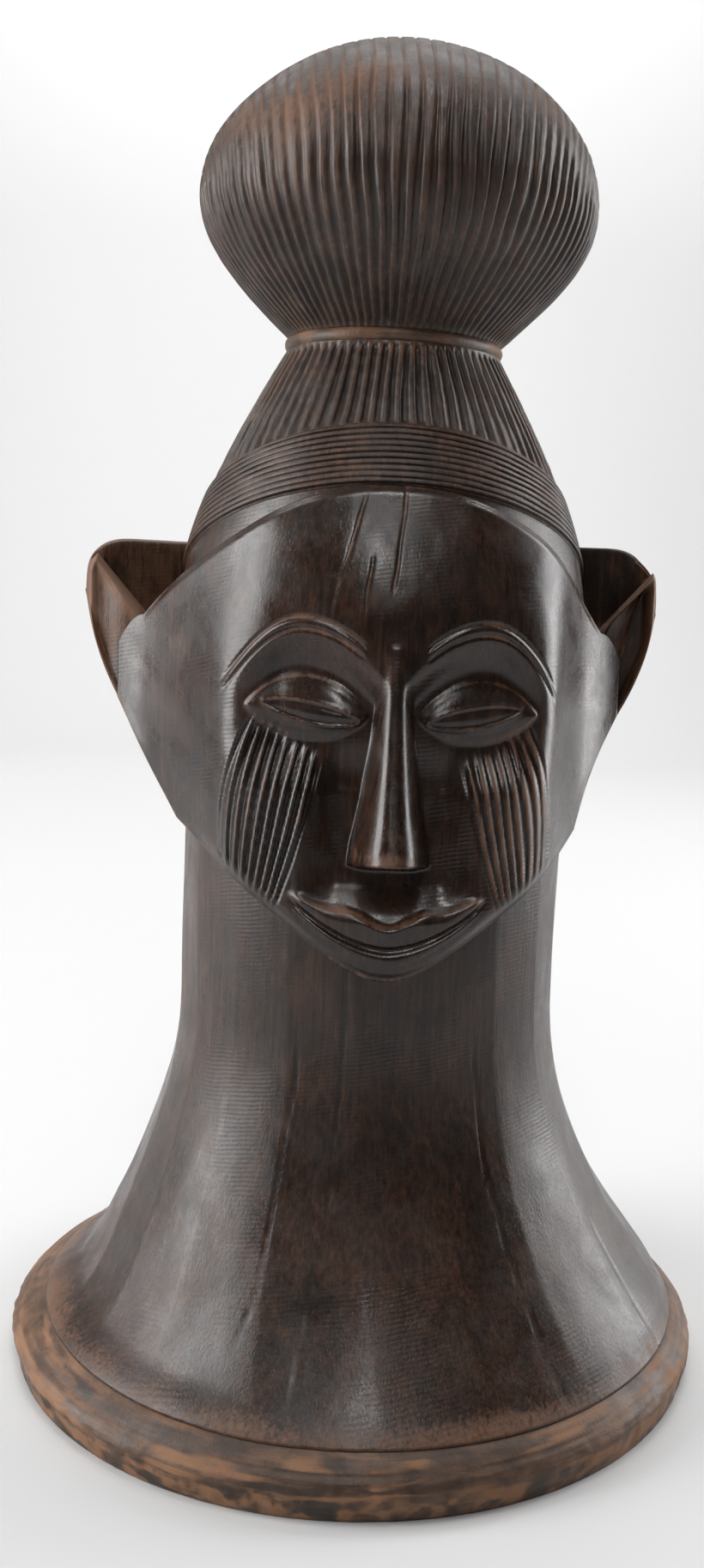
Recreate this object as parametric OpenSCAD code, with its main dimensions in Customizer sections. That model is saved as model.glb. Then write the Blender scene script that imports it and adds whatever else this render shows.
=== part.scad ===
// Carved wooden head on a flared neck, with a fluted topknot and cupped ears.
// Units are millimetres. +Z is up, the face looks along -Y, and the origin is
// the centre of the standing face.

/* [Foot and neck] */
// Largest radius of the foot rim
base_r = 109.5; // [91:0.5:132]
// How far the rim flares out past its incised line
rim_out = 7; // [5:0.5:9]
// Height of the foot rim, up to its incised line
rim_h = 17; // [14:0.5:21]
// How far the standing face stays inside the rim's largest radius
foot_ease = 1.5; // [1:0.5:3]
// Height of the rounded lower edge of the rim
foot_edge_h = 8; // [6:0.5:10]
// Radius of the neck column, which runs up into the back of the head
neck_r = 58.5; // [48:0.5:71]
// Height where the flare runs out into the neck column
flare_top = 116; // [96:1:134]

/* [Head] */
// Height of the chin's underside, which carries the whole head
chin_z = 135; // [122:1:165]
// How far the head at its widest, behind the ears, swells past the neck column
head_out = 5; // [2:0.5:9]
// Widest place of the head above the chin
crown_up = 91; // [80:1:105]
// Tie ring above the chin
tie_up = 175; // [160:1:196]
// Radius of the waist at the tie ring
tie_r = 32; // [26:0.5:38]
// Height of the tie ring
tie_h = 3.5; // [2:0.5:6]
// How far the tie ring stands out past the waist
tie_out = 1.6; // [0.5:0.1:3]

/* [Topknot] */
// Largest radius of the topknot
knot_r = 60; // [50:0.5:72]
// Height of the topknot's swelling underside
knot_low_h = 39.5; // [33:0.5:48]
// Height of the topknot's dome above its widest place
knot_top_h = 45; // [37.5:0.5:54]

/* [Hairline band] */
// Width of the band
band_w = 19; // [15:1:23]
// How far the band stands out past the hair
band_out = 1.5; // [1:0.5:4]
// Band's middle above the chin, on the head's axis
band_up = 120; // [116:1:126]
// Tilt of the band, front edge up
band_tilt = 24; // [18:1:28]

/* [Face] */
// Gap between the face's upper edge and the band, at the middle of the forehead
hair_gap = 0.7; // [0.5:0.1:3]
// Drop from the hairline's middle to its ends by the ears
hairline_drop = 38.5; // [32:0.5:44]
// Rise of the jaw from the chin to the sides of the neck
jaw_rise = 37; // [31:1:42]
// How far the cheek's rear edge stands out past the neck column
cheek_out = 17.5; // [14:0.5:21]
// How far the brow stands in front of the neck column
brow_out = 12.5; // [10:0.5:15]
// How far the chin stands in front of the neck column
chin_out = 19; // [16:0.5:23]
// Brow above the chin
brow_up = 90; // [82:1:96]
// Depth of the eye sockets and cheeks behind the brow and nose
socket_d = 7; // [4:0.5:8.5]
// Nose tip above the chin
nose_tip_up = 34; // [30:1:40]
// How far the nose tip stands in front of the neck column
nose_out = 29; // [24:0.5:33]
// Half the width of the nose at its wings
nose_w = 10; // [8:0.5:12]
// Half the distance between the eye centres
eye_x = 24.5; // [21:0.5:28]
// Eyes above the chin
eye_up = 71; // [66:1:76]
// Length of an eye
eye_l = 34; // [28:1:40]
// Height of an eye
eye_h = 17; // [14:0.5:20]
// Mouth above the chin
mouth_up = 15; // [12.5:0.5:18]
// Half the width of the mouth
mouth_w = 28; // [23.5:0.5:33.5]

/* [Ears] */
// How far an ear's outer edge stands out past the neck column
ear_out = 28.5; // [24:0.5:34]
// Ear's top edge above the chin
ear_top_up = 119; // [108:1:126]
// Thickness of an ear at its root, front to back
ear_root_t = 30; // [25:1:36]
// Thickness of an ear at its outer edge
ear_edge_t = 12; // [11:0.5:14.5]
// Wall left around the hollows of an ear
ear_wall = 3.5; // [3:0.5:4.2]
// Depth of the groove in an ear's front
groove_d = 3.5; // [2.5:0.5:4.2]

/* [Hidden] */

wood = "#3a2a22";
worn_wood = "#6b4a2e";
hair_wood = "#33261f";
turn_fn = 128;            // facets of a turned shape where it is drawn
steps = 14;               // points along a curved stretch of an outline
cols = 46;                // columns of the face's surface, side to side
rows = 40;                // rows of the face's surface, bottom to top
bed_rows = [0, 24, 28, 32, 36, 40]; // rows of the face's back that fits the head
bed_gap = 0.3;            // room left between the face's flat facets and the round head
face_back = 12;           // plane in front of the axis where face and ears meet
ear_corner = 10;          // radius of an ear's upper outer corner
line_r = base_r - rim_out;
hair_cut = 4 * neck_r;            // size of the slab that divides neck and hair
head_r = neck_r + head_out;
crown_z = chin_z + crown_up;
tie_z = chin_z + tie_up;
knot_z = tie_z + tie_h;
knot_mid_z = knot_z + knot_low_h;
hairline_up = band_low() - hair_gap; // middle of the face's upper edge, above the chin
cheek_w = neck_r + cheek_out;
notch_x = neck_r + 0.55 * cheek_out; // where the hairline, cheek and ear meet
jaw_w = neck_r + 1.2;                // where the jaw line leaves the neck
cheek_slope = 1.35;                  // how steeply the cheeks turn back
jaw_slope = 1.93;                    // rise of the cheek's lower edge past the neck
swell_h = 60;                        // height in which the neck swells to the head
soft = 5;                            // softness of the turn from front to cheek

// n + 1 values from a to b.
function span(a, b, n) = [for (i = [0:n]) a + (b - a) * i / n];
// Smooth step from 0 at a to 1 at b.
function step(a, b, v) = let (t = min(1, max(0, (v - a) / (b - a)))) t * t * (3 - 2 * t);
// Bell of height 1 and half width w.
function bell(v, w) = exp(-pow(v / w, 2));

// Radius of the foot rim: a rounded lower edge, then a bulging quarter ellipse.
function rim_r(z) =
  z < foot_edge_h
  ? base_r - foot_ease * (1 - sin(90 * z / foot_edge_h))
  : line_r + rim_out * cos(90 * (z - foot_edge_h) / (rim_h - foot_edge_h));

// Radius of the flare: a parabola that runs out into the neck column.
function flare_r(z) =
  neck_r + (line_r - neck_r) * pow(max(0, flare_top - z) / (flare_top - rim_h), 2);

// Radius of the head: the column swells to the head's widest place, then a quarter
// sine draws in to the waist.
function crown_r(z) =
  z <= crown_z ? neck_r + (head_r - neck_r) * step(crown_z - swell_h, crown_z, z)
  : tie_r + (head_r - tie_r) * sin(90 * (tie_z - z) / (tie_z - crown_z));

// Height of the band's lower front edge above the chin, where the band's slope meets
// its own outer radius, closed in on by repeated substitution.
function band_low(up = band_up, tries = 10) =
  tries == 0 ? up
  : band_low(band_up - band_w / (2 * cos(band_tilt))
             + tan(band_tilt) * (crown_r(chin_z + up) + band_out), tries - 1);

// Radius of the topknot: a quarter sine below, a quarter ellipse above.
function knot_wall_r(z) =
  z < knot_mid_z ? tie_r + (knot_r - tie_r) * sin(90 * (z - knot_z) / knot_low_h)
  : knot_r * sqrt(max(0, 1 - pow((z - knot_mid_z) / knot_top_h, 2)));

// Solid turned about the axis from the wall points [radius, height] given.
module turned(wall, low, high) {
  rotate_extrude($fn = turn_fn)
    polygon(concat([[0, low]], wall, [[0, high]]));
}

module foot_rim() {
  color(worn_wood)
    turned([for (z = concat(span(0, foot_edge_h, 4), span(foot_edge_h + 2, rim_h, 8)))
              [rim_r(z), z]], 0, rim_h);
}

// The column and crown as one turned shape, swollen by an amount all round.
module head_shape(swell = 0) {
  turned(concat([[neck_r + swell, flare_top]],
                [for (z = concat(span(crown_z - swell_h, crown_z, 6), span(crown_z + 6, tie_z, steps)))
                   [crown_r(z) + swell, z]]),
         flare_top, tie_z);
}

// A thick slab on the band's slope, reaching from one height on the axis to another,
// measured square to the slope from the band's middle.
module band_slab(low, high) {
  translate([0, 0, chin_z + band_up])
    rotate([-band_tilt, 0, 0])
      translate([0, 0, low])
        cylinder(r = 2 * neck_r, h = high - low);
}

module flared_neck() {
  color(wood)
    difference() {
      union() {
        turned([for (z = span(rim_h, flare_top, steps)) [flare_r(z), z]], rim_h, flare_top);
        head_shape();
      }
      band_slab(-band_w / 2, hair_cut);
    }
}

module fluted_crown() {
  color(hair_wood)
    intersection() {
      head_shape();
      band_slab(-band_w / 2, hair_cut);
    }
}

module hairline_band() {
  color(hair_wood)
    difference() {
      intersection() {
        head_shape(band_out);
        band_slab(-band_w / 2, band_w / 2);
      }
      head_shape();
    }
}

module tie_ring() {
  color(worn_wood)
    translate([0, 0, tie_z])
      turned([for (i = [0:8]) [tie_r + tie_out * sin(180 * i / 8), tie_h * i / 8]], 0, tie_h);
}

module topknot() {
  color(hair_wood)
    turned([for (z = concat(span(knot_z, knot_mid_z, steps),
                            [for (t = span(6, 84, steps)) knot_mid_z + knot_top_h * sin(t)]))
              [knot_wall_r(z), z]], knot_z, knot_mid_z + knot_top_h);
}

// Jaw line: height of the face's lower edge above the chin.
function jaw(x) =
  let (a = abs(x))
  a < jaw_w ? jaw_rise * pow(a / jaw_w, 1.2)
  : jaw_rise + (a - jaw_w) * jaw_slope;

// Hairline: height of the face's upper edge above the chin.
function hairline(x) =
  let (a = abs(x), low = hairline_up - hairline_drop)
  a < notch_x ? hairline_up - hairline_drop * pow(a / notch_x, 2.2)
  : low - 9 * pow((a - notch_x) / (cheek_w - notch_x), 2);

// Brow arc: height of the lower edge of the brow above the chin.
function brow(x) =
  brow_up + 5 - 0.035 * pow(abs(x) - eye_x, 2);

// The plain mask: a forehead that rounds off upwards, a chin that comes
// forward, and cheeks that turn back along a slope.
function mask(x, h) =
  let (front = neck_r + brow_out - 0.007 * x * x
               - (h > brow_up ? 0.0076 * pow(h - brow_up, 2)
                  : -(chin_out - brow_out) * (brow_up - h) / brow_up),
       side = face_back + 1.5 + (cheek_w - abs(x)) * cheek_slope)
  -soft * ln(exp(-front / soft) + exp(-side / soft));

// How much of the socket's recess is felt at a place.
function socket(x, h) =
  step(-5, 2, brow(x) - h) * step(mouth_up + 6, nose_tip_up + 6, h)
  * (1 - step(0.35 * cheek_w, 0.66 * cheek_w, abs(x)));

// The nose as a ridge with steep sides: it leaves the forehead at the brow, comes
// forward to its tip, widens on the way, and is cut off under the tip.
function nose(x, h) =
  let (up = min(1.1, (h - nose_tip_up) / (brow_up - nose_tip_up)),
       tip = neck_r + nose_out,
       w = nose_w * (1 - 0.55 * max(0, up)))
  tip + (mask(0, brow_up) - 1 - tip) * up - 2.5 * max(0, abs(x) - 0.45 * w)
  - 0.02 * x * x - 3.5 * max(0, nose_tip_up - h) - 3 * max(0, h - brow_up);

// Swell of an eye, an almond.
function eye(x, h) =
  4 * sqrt(max(0, 1 - pow((abs(x) - eye_x) * 2 / eye_l, 2)
                    - pow((h - eye_up) * 2 / eye_h, 2)));

// Swell of the lips, with the line of the mouth between them.
function lips(x, h) =
  let (curve = mouth_up + 5 * pow(x / mouth_w, 2),
       full = max(0, 1 - pow(x / mouth_w, 2)))
  full * (4 * bell(h - curve - 3.5, 4) + 4 * bell(h - curve + 4.5, 4)
          - 2 * bell(h - curve, 1.5));

// Rounding of the chin's front lower edge.
function chin_ease(x, h) = 4 * (1 - step(0, 6, h - jaw(x)));

// The larger of two values, with a soft change from one to the other.
function soft_max(a, b) = max(a, b) + 1.5 * exp(-abs(a - b) / 1.5) / 2;

// How far the face's surface stands in front of the axis.
function skin(x, h) =
  max(face_back + 1,
      soft_max(mask(x, h) - socket_d * socket(x, h) + eye(x, h) + lips(x, h)
               - chin_ease(x, h) * (1 - step(20, 60, abs(x))),
               nose(x, h)));

// Front of the crown, or of the plane where face and ears meet, behind the face.
function face_bed(x, h) =
  max(face_back, sqrt(max(0, pow(crown_r(chin_z + h) + bed_gap, 2) - x * x)));

// The face as one block: its skin, walls along Y, and a back that fits the head.
module face() {
  n = cols + 1;
  xs = span(-cheek_w, cheek_w, cols);
  skin_points = [for (j = [0:rows], x = xs)
                   let (h = jaw(x) + (hairline(x) - jaw(x)) * j / rows)
                   [x, -skin(x, h), chin_z + h]];
  bed_points = [for (j = [0:rows], x = xs)
                  let (h = jaw(x) + (hairline(x) - jaw(x)) * j / rows)
                  [x, -face_bed(x, h), chin_z + h]];
  m = len(skin_points);
  skin_faces = [for (j = [0:rows - 1], i = [0:cols - 1])
                  let (a = j * n + i) each [[a, a + n, a + n + 1], [a, a + n + 1, a + 1]]];
  bed_faces = [for (k = [0:len(bed_rows) - 2], i = [1:cols - 2])
                 let (a = m + bed_rows[k] * n + i, b = m + bed_rows[k + 1] * n + i)
                 each [[a, a + 1, b + 1], [a, b + 1, b]]];
  bed_edges = [for (k = [0:len(bed_rows) - 2])
                 let (low = bed_rows[k], high = bed_rows[k + 1])
                 each [concat([m + low * n + 1, m + high * n + 1],
                              [for (j = [high:-1:low]) m + j * n]),
                       concat([m + high * n + cols - 1, m + low * n + cols - 1],
                              [for (j = [low:high]) m + j * n + cols])]];
  low_walls = [for (i = [0:cols - 1]) [i, i + 1, m + i + 1, m + i]];
  top_walls = [for (i = [0:cols - 1])
                 let (a = rows * n + i) [a + 1, a, m + a, m + a + 1]];
  side_walls = [for (j = [0:rows - 1])
                  let (a = j * n, b = a + cols)
                  each [[m + a, m + a + n, a + n, a], [b, b + n, m + b + n, m + b]]];
  color(wood)
    polyhedron(points = concat(skin_points, bed_points),
               faces = concat(skin_faces, bed_faces, bed_edges, low_walls, top_walls,
                              side_walls));
}

// Solid with an outline in X and Z, from y0 back to y1.
module upright(outline, y0, y1) {
  translate([0, y1, 0])
    rotate([90, 0, 0])
      linear_extrude(y1 - y0) polygon(outline);
}

// Outline of an ear from the front, inset by an amount.
function ear_outline(inset = 0) =
  let (low = chin_z + jaw_rise, top = chin_z + ear_top_up,
       bulge_x = neck_r + ear_out - inset, r = ear_corner)
  concat([[neck_r - 8, low - 4], [jaw_w - inset, low - 4 + inset],
          [cheek_w - inset, low + (cheek_w - jaw_w) * jaw_slope - 1]],
         [for (t = span(-20, 80, 8))
            [bulge_x - r + r * cos(t), top - r - 2 - inset + r * sin(t)]],
         [[neck_r, top + 2 - inset], [neck_r - 8, top + 2 - inset]]);

// Plan of an ear, thick at the head and thin at its outer edge.
function ear_plan(inset = 0) =
  [[neck_r - 8, inset], [neck_r + ear_out + 1, inset],
   [neck_r + ear_out + 1, ear_edge_t - inset], [neck_r - 8, ear_root_t - inset]];

// An ear on the +X side: a leaf, open in a pocket behind its slanting front rim,
// with a shallow groove in its front between the rim and the cheek.
module ear() {
  top = chin_z + ear_top_up;
  notch_z = chin_z + hairline_up - hairline_drop;
  pocket_y = groove_d + ear_wall;
  rim_x = neck_r + ear_out - ear_corner;
  translate([0, -face_back, 0])
    difference() {
      intersection() {
        upright(ear_outline(), 0, ear_root_t);
        translate([0, 0, chin_z]) linear_extrude(2 * ear_top_up) polygon(ear_plan());
      }
      intersection() {
        upright([[neck_r - 8, notch_z - 12], [notch_x, notch_z - 12], [rim_x, top + 9],
                 [neck_r - 8, top + 9]], pocket_y, ear_root_t);
        translate([0, 0, chin_z]) linear_extrude(2 * ear_top_up) polygon(ear_plan(ear_wall));
      }
      upright([[neck_r - 8, notch_z + 1], [notch_x, notch_z + 1], [rim_x + 4, top + 1],
               [rim_x + 4, top + 9], [neck_r - 8, top + 9]], -1, pocket_y + 1);
      intersection() {
        upright(ear_outline(ear_wall), -1, groove_d);
        upright([[cheek_w + 1, chin_z], [cheek_w + 60, chin_z], [cheek_w + 60, top - 4],
                 [rim_x + 4, top - 4], [notch_x + 3, notch_z - 5]], -1, groove_d);
      }
    }
}

module placed_ear(side) {
  color(wood)
    difference() {
      if (side > 0) ear();
      else mirror([1, 0, 0]) ear();
      head_shape();
      hairline_band();
    }
}

foot_rim();
flared_neck();
fluted_crown();
hairline_band();
tie_ring();
topknot();
face();
placed_ear(-1);  // right_ear
placed_ear(1);  // left_ear
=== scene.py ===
"""Carved wooden head on a flared neck: carved surfaces, wood finishes and light.

Shapes are worked out in millimetres and go into the meshes in metres. +Z is up,
the face looks along -Y, and the origin is the centre of the standing face.
"""

import math

import bpy
import numpy as np
from mathutils import Matrix, Vector


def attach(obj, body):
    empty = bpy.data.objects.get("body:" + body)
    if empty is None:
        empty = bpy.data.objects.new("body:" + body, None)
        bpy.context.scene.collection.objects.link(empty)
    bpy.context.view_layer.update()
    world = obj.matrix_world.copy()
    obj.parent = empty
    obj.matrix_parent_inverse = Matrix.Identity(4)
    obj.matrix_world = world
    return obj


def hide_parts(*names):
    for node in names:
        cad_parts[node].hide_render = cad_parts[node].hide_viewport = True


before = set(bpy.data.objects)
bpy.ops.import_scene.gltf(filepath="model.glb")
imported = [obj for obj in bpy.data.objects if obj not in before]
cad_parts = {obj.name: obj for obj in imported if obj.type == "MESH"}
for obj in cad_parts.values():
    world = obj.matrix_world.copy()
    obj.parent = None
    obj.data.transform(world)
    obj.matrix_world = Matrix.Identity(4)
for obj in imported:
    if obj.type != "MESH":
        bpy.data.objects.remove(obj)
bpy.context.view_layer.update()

MM = 0.001

# ---------------------------------------------------------------- sizes, in mm
FOOT_R = 109.3  # widest radius of the foot rim
STAND_R = 106.6  # radius of the standing face
ARRIS_Z = 8.0  # height of the rim's widest place
RIM_Z = 17.0  # height of the incised line where rim and flare meet
LINE_R = 102.3  # radius at that line
NECK_R = 58.5  # radius of the neck column
FLARE_TOP = 116.0  # where the flare runs out into the column
CHIN_Z = 135.0
HEAD_R = 62.6  # radius of the head at its widest, behind the ears
CROWN_Z = 226.0  # height of the head's widest place
TIE_Z = 310.0  # underside of the tie ring
TIE_H = 3.5
TIE_R = 32.0  # radius of the waist
KNOT_Z = TIE_Z + TIE_H
KNOT_MID_Z = KNOT_Z + 39.5
KNOT_TOP_H = 44.8
KNOT_R = 59.8
BAND_Z = 255.0  # middle of the hairline band on the axis
BAND_TILT = math.radians(24.0)
BAND_HALF = 9.5  # half the band's width
BAND_OUT = 1.3  # how far the band stands out past the hair
CHEEK_W = 76.0  # half width of the face at the cheeks' rear edges
NOTCH_X = 68.1  # where hairline, cheek and ear meet
JAW_W = 58.3  # half width of the jaw where it leaves the neck
HAIRLINE = 133.5  # middle of the hairline above the chin
HAIR_DROP = 38.5  # drop of the hairline to the ears
JAW_RISE = 37.0  # rise of the jaw to the sides of the neck
JAW_SLOPE = 1.87  # rise of the cheek's lower edge past the neck
FACE_BACK = 12.0  # plane where face and ears meet, in front of the axis
BROW_UP = 90.0  # where the forehead starts to round off, above the chin
BROW_OUT = 12.5  # how far the brow stands in front of the neck column
BROW_ARC_X, BROW_ARC_UP = 25.0, 97.5  # highest place of a brow line
BROW_GAP = 3.3  # between the two lines of a brow
EYE_X, EYE_UP, EYE_HALF = 23.5, 72.3, 16.3  # an eye's middle and half its length
LID_UP, LID_DOWN = 9.4, 7.2  # reach of the lids over and under the eye's middle
SLIT_X, SLIT_UP, SLIT_HALF = 22.2, 72.2, 13.4  # the slit's middle and half its length
NOSE_TIP_UP, NOSE_TIP_OUT = 34.0, 28.6  # the nose tip, above the chin and past the column
MOUTH_HALF = 26.5  # half the width of the mouth
SCAR_COUNT = 8.0  # spaces between the cheek grooves
EAR_ROOT_X = 50.0  # inner end of an ear, hidden in the head
EAR_TIP_X = 86.8  # outer end of an ear from the middle of the head
EAR_TOP_H = 119.5  # top of an ear above the chin
EAR_SHIFT = -3.3  # how far the ears stand to the head's right side
COLUMN_CUTS = 19  # knife facets round the column
CROWN_FLUTES = 70
KNOT_FLUTES = 92
BAND_STRANDS = 10


# ------------------------------------------------------------- number helpers
def ease(low, high, value):
    """Smooth step: 0 below low, 1 above high, and 3t^2 - 2t^3 between."""
    t = np.clip((value - low) / (high - low), 0.0, 1.0)
    return t * t * (3.0 - 2.0 * t)


def bell(value, width):
    """Bell curve exp(-(value / width)^2)."""
    return np.exp(-((value / width) ** 2))


def lattice(i, j, k, seed):
    """A fixed pseudo-random number from 0 to 1 for each whole-number place."""
    mixed = np.sin(i * 12.9898 + j * 78.233 + k * 37.719 + seed * 19.19) * 43758.5453
    return mixed - np.floor(mixed)


def lumps(x, y, z, size, seed):
    """Smooth noise from -1 to 1: random numbers on a lattice of the given cell
    size (one number or three), blended with a smooth step along each side."""
    sx, sy, sz = (size, size, size) if np.isscalar(size) else size
    x, y, z = np.broadcast_arrays(x / sx, y / sy, z / sz)
    i, j, k = np.floor(x), np.floor(y), np.floor(z)
    u, v, w = x - i, y - j, z - k
    u, v, w = (t * t * (3.0 - 2.0 * t) for t in (u, v, w))
    total = np.zeros_like(u)
    for di in (0, 1):
        for dj in (0, 1):
            for dk in (0, 1):
                share = (u if di else 1 - u) * (v if dj else 1 - v) * (w if dk else 1 - w)
                total += share * lattice(i + di, j + dj, k + dk, seed)
    return 2.0 * total - 1.0


def turned_noise(angle, z, radius, size, seed):
    """Noise that joins up round a turned piece: lumps read on a cylinder."""
    return lumps(radius * np.sin(angle), -radius * np.cos(angle), z, size, seed)


# --------------------------------------------------------------- mesh helpers
def quads_of(rows, cols, wrap_rows=False, wrap_cols=False):
    """Corner numbers of the squares of a grid whose point (row, col) is
    row * cols + col; each square runs col, col + 1, next row col + 1, col."""
    r = np.arange(rows if wrap_rows else rows - 1)
    c = np.arange(cols if wrap_cols else cols - 1)
    r, c = np.meshgrid(r, c, indexing="ij")
    up, right = (r + 1) % rows, (c + 1) % cols
    corners = (r * cols + c, r * cols + right, up * cols + right, up * cols + c)
    return np.stack(corners, -1).reshape(-1, 4)


def fan(ring, hub, flip=False):
    """Triangles from a closed ring of points to one hub point."""
    nxt = np.roll(ring, -1)
    tris = np.stack([ring, nxt, np.full_like(ring, hub)], -1)
    return tris[:, ::-1] if flip else tris


def carve(name, points, face_sets, nodes, material, marks):
    """Put points (mm) and faces into a smooth mesh that stands for CAD nodes,
    with each named mark stored as a number at every point."""
    mesh = bpy.data.meshes.new(name)
    mesh.vertices.add(len(points))
    mesh.vertices.foreach_set("co", (points * MM).astype(np.float32).ravel())
    corners = np.concatenate([np.asarray(f).ravel() for f in face_sets])
    sizes = np.concatenate([np.full(len(f), len(f[0])) for f in face_sets])
    starts = np.concatenate([[0], np.cumsum(sizes)[:-1]])
    mesh.loops.add(len(corners))
    mesh.loops.foreach_set("vertex_index", corners.astype(np.int32))
    mesh.polygons.add(len(sizes))
    mesh.polygons.foreach_set("loop_start", starts.astype(np.int32))
    mesh.polygons.foreach_set("use_smooth", np.ones(len(sizes), dtype=bool))
    mesh.update(calc_edges=True)
    for mark, values in marks.items():
        layer = mesh.attributes.new(mark, "FLOAT", "POINT")
        layer.data.foreach_set("value", np.clip(values, 0, 1).astype(np.float32).ravel())
    mesh.materials.append(material)
    piece = bpy.data.objects.new(name, mesh)
    bpy.context.collection.objects.link(piece)
    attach(piece, "root")
    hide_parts(*nodes)
    return piece


def round_points(angle, radius, z):
    """Points at an angle round the axis from the front, a radius and a height."""
    return np.stack([radius * np.sin(angle), -radius * np.cos(angle), z], -1)


def turned(name, angle, radius, z, nodes, material, marks):
    """Closed piece from a grid of radii and heights, rows upwards and columns
    round the axis, with its first and last rows closed to a point on the axis."""
    rows, cols = radius.shape
    points = round_points(angle, radius, z).reshape(-1, 3)
    low = [0.0, 0.0, float(z[0].mean())]
    high = [0.0, 0.0, float(z[-1].mean())]
    points = np.vstack([points, low, high])
    n = rows * cols
    first, last = np.arange(cols), np.arange(n - cols, n)
    faces = [quads_of(rows, cols, wrap_cols=True), fan(first, n, flip=True), fan(last, n + 1)]
    ends = {mark: np.append(v.ravel(), [v[0].mean(), v[-1].mean()]) for mark, v in marks.items()}
    return carve(name, points, faces, nodes, material, ends)


def around(count):
    """Angles of a closed ring."""
    return np.arange(count) * (2.0 * math.pi / count)


# ------------------------------------------------------------ shader helpers
def node_in(tree, kind, **values):
    """A new shader node with its plain properties and named inputs set."""
    node = tree.nodes.new(kind)
    for key, value in values.items():
        if key in node.inputs.keys():
            node.inputs[key].default_value = value
        else:
            setattr(node, key, value)
    return node


def math_node(tree, operation, first, second, clamp=False):
    """A math node on two values or links."""
    node = node_in(tree, "ShaderNodeMath", operation=operation, use_clamp=clamp)
    for socket, value in zip(node.inputs, (first, second)):
        if isinstance(value, (int, float)):
            socket.default_value = value
        else:
            tree.links.new(value, socket)
    return node.outputs[0]


def mix_colour(tree, share, first, second, blend="MIX"):
    """Blend of two colours, each a link or a plain colour."""
    node = node_in(tree, "ShaderNodeMix", data_type="RGBA", blend_type=blend)
    for socket, value in zip((node.inputs[0], node.inputs[6], node.inputs[7]), (share, first, second)):
        if isinstance(value, (int, float, tuple)):
            socket.default_value = value
        else:
            tree.links.new(value, socket)
    return node.outputs[2]


def spread(tree, value, low, high, to_low=0.0, to_high=1.0):
    """A value mapped from one range to another, clamped and eased."""
    node = node_in(tree, "ShaderNodeMapRange", interpolation_type="SMOOTHSTEP")
    tree.links.new(value, node.inputs[0])
    for socket, number in zip(node.inputs[1:5], (low, high, to_low, to_high)):
        socket.default_value = number
    return node.outputs[0]


def noise(tree, place, scale, detail=4.0, rough=0.55, distortion=0.0):
    """Noise texture read at a place."""
    node = node_in(tree, "ShaderNodeTexNoise", Scale=scale, Detail=detail, Roughness=rough)
    node.inputs["Distortion"].default_value = distortion
    tree.links.new(place, node.inputs["Vector"])
    return node.outputs["Fac"]


def stretched(tree, place, scale, turn=(0.0, 0.0, 0.0)):
    """A place scaled and turned, for patterns that run one way."""
    node = node_in(tree, "ShaderNodeMapping", Scale=scale, Rotation=turn)
    tree.links.new(place, node.inputs["Vector"])
    return node.outputs[0]


def new_group(name, inputs, outputs):
    """A shader node group with named inputs and outputs, and its two ends."""
    group = bpy.data.node_groups.new(name, "ShaderNodeTree")
    for label, kind, value in inputs:
        socket = group.interface.new_socket(label, in_out="INPUT", socket_type=kind)
        if value is not None:
            socket.default_value = value
    for label, kind in outputs:
        group.interface.new_socket(label, in_out="OUTPUT", socket_type=kind)
    return group, group.nodes.new("NodeGroupInput"), group.nodes.new("NodeGroupOutput")


COLOUR, NUMBER, PLACE = "NodeSocketColor", "NodeSocketFloat", "NodeSocketVector"


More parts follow.
